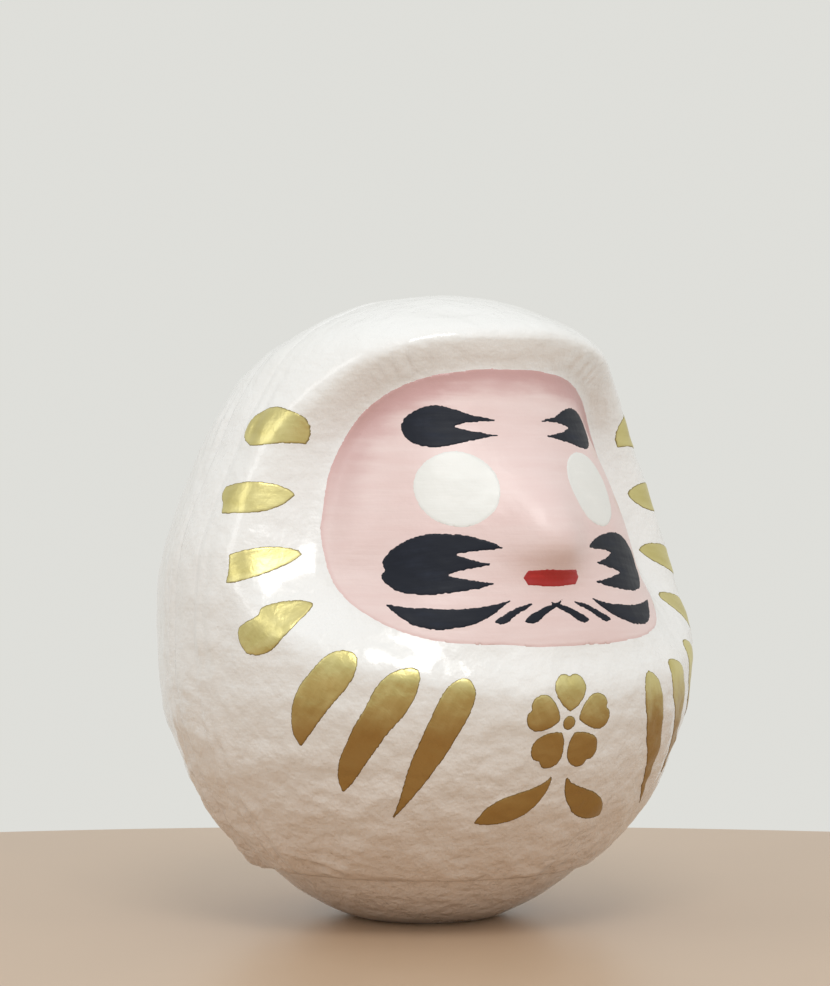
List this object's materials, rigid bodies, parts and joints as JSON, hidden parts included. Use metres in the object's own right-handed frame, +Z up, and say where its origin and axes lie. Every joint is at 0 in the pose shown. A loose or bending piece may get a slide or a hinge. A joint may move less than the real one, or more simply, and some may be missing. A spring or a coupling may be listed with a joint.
{
  "type": "daruma doll",
  "caption": "Hollow papier-mache tumbler doll: white egg-shaped body, sunken painted face under a hood, gold brush marks, and a weighted round foot.",
  "frame": {"origin": "centre of the small flat under the foot, on the surface that the doll stands on", "axes": "+Z up through the doll; the face looks along -Y; +X is the doll's own left"},
  "size_m": [0.1474, 0.1457, 0.1683],
  "materials": {
    "white_gloss_on_pulp": "satin",
    "raw_clay": "matte",
    "dried_glue": "satin",
    "pink_paint": "satin",
    "white_eye_paint": "satin",
    "red_paint": "satin",
    "black_paint": "satin",
    "gold_paint": "satin"
  },
  "bodies": {
    "root": {"front_shell": "white_gloss_on_pulp", "back_shell": "white_gloss_on_pulp", "seam_strip": "white_gloss_on_pulp", "foot_dish": "white_gloss_on_pulp", "clay_weight": "raw_clay", "glue_bead": "dried_glue", "face_paint": "pink_paint", "mouth": "red_paint", "crossed_whiskers": "black_paint", "eye_left": "white_eye_paint", "brow_left": "black_paint", "cheek_beard_left": "black_paint", "lip_beard_left": "black_paint", "outer_whisker_left": "black_paint", "temple_mark_1_left": "gold_paint", "temple_mark_2_left": "gold_paint", "temple_mark_3_left": "gold_paint", "temple_mark_4_left": "gold_paint", "belly_stroke_1_left": "gold_paint", "belly_stroke_2_left": "gold_paint", "belly_stroke_3_left": "gold_paint", "eye_right": "white_eye_paint", "brow_right": "black_paint", "cheek_beard_right": "black_paint", "lip_beard_right": "black_paint", "outer_whisker_right": "black_paint", "temple_mark_1_right": "gold_paint", "temple_mark_2_right": "gold_paint", "temple_mark_3_right": "gold_paint", "temple_mark_4_right": "gold_paint", "belly_stroke_1_right": "gold_paint", "belly_stroke_2_right": "gold_paint", "belly_stroke_3_right": "gold_paint", "gold_blossom": "gold_paint", "gold_leaves": "gold_paint"}
  },
  "joints": []
}
